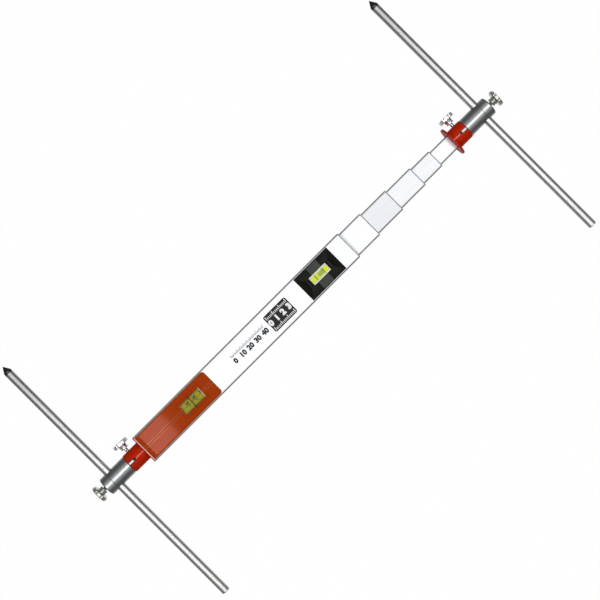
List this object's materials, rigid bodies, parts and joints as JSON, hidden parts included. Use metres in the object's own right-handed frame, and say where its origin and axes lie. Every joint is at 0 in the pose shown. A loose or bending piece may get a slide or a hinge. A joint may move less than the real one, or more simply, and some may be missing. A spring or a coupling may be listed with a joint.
{
  "type": "telescopic tram gauge",
  "caption": "Telescopic tram gauge: nested square tubes with a tape reading window and a vial, and a sliding pointed rod clamped across each end.",
  "frame": {"origin": "halfway between the two pointer rods on the gauge's axis, which is the centre of its bounding box", "axes": "+X along the gauge from the tape housing to the telescoping end, +Y along the pointer rods towards their tips, +Z out of the front face with the window and the vial"},
  "size_m": [0.6406, 0.36, 0.037],
  "materials": {
    "clear_anodised": "etched and clear anodised aluminium, pale satin silver",
    "grey_anodised": "clear anodised drawn aluminium, a shade darker",
    "grey_bush": "moulded grey acetal",
    "black_moulding": "moulded black plastic, fine texture",
    "red_cover": "orange-red gloss lacquer on pressed aluminium",
    "red_anodised": "red anodised turned aluminium with a low gloss",
    "turned_head": "turned and clear anodised aluminium",
    "rod_steel": "ground stainless rod with a dull finish",
    "dark_steel": "blackened hardened steel",
    "nickel_screw": "nickel-plated turned steel",
    "bright_steel": "polished steel",
    "plain_aluminium": "machined aluminium",
    "spring_steel": "blued spring steel",
    "brass_pad": "plain turned brass",
    "yellow_tape": "yellow lacquered steel tape",
    "index_red": "printed red line",
    "clear_lens": "clear acrylic",
    "vial_acrylic": "clear acrylic, polished",
    "vial_liquid": "dyed yellow-green liquid",
    "vial_air": "air bubble in the dyed liquid",
    "black_print": "printed black mark or etched grey mark"
  },
  "bodies": {
    "base": {"outer_tube": "clear_anodised", "housing_cover": "red_cover", "window_lens": "clear_lens", "index_line": "index_red", "tape_housing": "black_moulding", "left_socket": "red_anodised", "end_plate_screws": "bright_steel", "drum_axle": "bright_steel", "tape_guide_pins": "bright_steel", "mainspring": "spring_steel", "steel_tape": "yellow_tape", "mouth_bush_1": "grey_bush", "vial_tray": "black_moulding", "vial_cradle": "black_moulding", "vial_block": "vial_acrylic", "vial_liquid": "vial_liquid", "vial_bubble": "vial_air", "vial_marks": "black_print"},
    "drum": {"tape_drum": "black_moulding", "tape_coil": "yellow_tape"},
    "section_2": {"tube_2": "clear_anodised", "mouth_bush_2": "grey_bush", "tail_shoe_2": "black_moulding"},
    "section_3": {"tube_3": "grey_anodised", "mouth_bush_3": "grey_bush", "tail_shoe_3": "black_moulding"},
    "section_4": {"tube_4": "clear_anodised", "mouth_bush_4": "grey_bush", "tail_shoe_4": "black_moulding"},
    "section_5": {"tube_5": "clear_anodised", "mouth_bush_5": "grey_bush", "tail_shoe_5": "black_moulding"},
    "section_6": {"tube_6": "clear_anodised", "tail_shoe_6": "black_moulding", "right_socket": "red_anodised", "tip_plug": "plain_aluminium", "socket_bolt": "dark_steel", "tape_anchor": "plain_aluminium"},
    "left_pointer_head": {"left_head": "turned_head", "left_head_cap": "turned_head", "left_locating_pin": "dark_steel", "left_cap_screws": "dark_steel"},
    "left_pointer_rod": {"left_rod": "rod_steel", "left_tip": "dark_steel"},
    "left_end_pad": {"left_end_pad": "brass_pad"},
    "left_end_screw": {"left_end_screw": "nickel_screw"},
    "left_side_pad": {"left_side_pad": "brass_pad"},
    "left_side_screw": {"left_side_screw": "nickel_screw"},
    "right_pointer_head": {"right_head": "turned_head", "right_head_cap": "turned_head", "right_locating_pin": "dark_steel", "right_cap_screws": "dark_steel"},
    "right_pointer_rod": {"right_rod": "rod_steel", "right_tip": "dark_steel"},
    "right_end_pad": {"right_end_pad": "brass_pad"},
    "right_end_screw": {"right_end_screw": "nickel_screw"},
    "right_side_pad": {"right_side_pad": "brass_pad"},
    "right_side_screw": {"right_side_screw": "nickel_screw"}
  },
  "joints": [
    {"name": "section_2_slide", "type": "slide", "parent": "base", "child": "section_2", "axis": [1, 0, 0], "range_m": [-0.0319, 0.1311]},
    {"name": "section_3_slide", "type": "slide", "parent": "section_2", "child": "section_3", "axis": [1, 0, 0], "range_m": [-0.0368, 0.1262]},
    {"name": "section_4_slide", "type": "slide", "parent": "section_3", "child": "section_4", "axis": [1, 0, 0], "range_m": [-0.0359, 0.1271]},
    {"name": "section_5_slide", "type": "slide", "parent": "section_4", "child": "section_5", "axis": [1, 0, 0], "range_m": [-0.0269, 0.1361]},
    {"name": "section_6_slide", "type": "slide", "parent": "section_5", "child": "section_6", "axis": [1, 0, 0], "range_m": [-0.0245, 0.1385], "deforming": ["steel_tape"]},
    {"name": "drum_turn", "type": "hinge", "parent": "base", "child": "drum", "pos_m": [-0.21665, 0, 0.00355], "axis": [0, 1, 0], "range_deg": [-132, 738]},
    {"name": "left_head_pull", "type": "slide", "parent": "base", "child": "left_pointer_head", "axis": [-1, 0, 0], "range_m": [0, 0.015]},
    {"name": "left_rod_slide", "type": "slide", "parent": "left_pointer_head", "child": "left_pointer_rod", "axis": [0, 1, 0], "range_m": [-0.155, 0.155]},
    {"name": "left_end_pad_travel", "type": "slide", "parent": "left_pointer_head", "child": "left_end_pad", "axis": [-1, 0, 0], "range_m": [0, 0.0016]},
    {"name": "left_end_screw_turn", "type": "hinge", "parent": "left_end_pad", "child": "left_end_screw", "pos_m": [-0.29415, 0, 0], "axis": [-1, 0, 0], "range_deg": [0, 721]},
    {"name": "left_side_pad_travel", "type": "slide", "parent": "base", "child": "left_side_pad", "axis": [0, 1, 0], "range_m": [0, 0.0016]},
    {"name": "left_side_screw_turn", "type": "hinge", "parent": "left_side_pad", "child": "left_side_screw", "pos_m": [-0.26115, 0, 0], "axis": [0, 1, 0], "range_deg": [0, 721]},
    {"name": "right_head_pull", "type": "slide", "parent": "section_6", "child": "right_pointer_head", "axis": [1, 0, 0], "range_m": [0, 0.015]},
    {"name": "right_rod_slide", "type": "slide", "parent": "right_pointer_head", "child": "right_pointer_rod", "axis": [0, 1, 0], "range_m": [-0.155, 0.155]},
    {"name": "right_end_pad_travel", "type": "slide", "parent": "right_pointer_head", "child": "right_end_pad", "axis": [1, 0, 0], "range_m": [0, 0.0016]},
    {"name": "right_end_screw_turn", "type": "hinge", "parent": "right_end_pad", "child": "right_end_screw", "pos_m": [0.29415, 0, 0], "axis": [1, 0, 0], "range_deg": [0, 721]},
    {"name": "right_side_pad_travel", "type": "slide", "parent": "section_6", "child": "right_side_pad", "axis": [0, 1, 0], "range_m": [0, 0.0016]},
    {"name": "right_side_screw_turn", "type": "hinge", "parent": "right_side_pad", "child": "right_side_screw", "pos_m": [0.26115, 0, 0], "axis": [0, 1, 0], "range_deg": [0, 721]}
  ],
  "couplings": [
    {"joint": "drum_turn", "follows": "section_6_slide", "rad_per_m": 92.767},
    {"joint": "left_end_screw_turn", "follows": "left_end_pad_travel", "rad_per_m": 7854},
    {"joint": "left_side_screw_turn", "follows": "left_side_pad_travel", "rad_per_m": 7854},
    {"joint": "right_end_screw_turn", "follows": "right_end_pad_travel", "rad_per_m": 7854},
    {"joint": "right_side_screw_turn", "follows": "right_side_pad_travel", "rad_per_m": 7854}
  ]
}
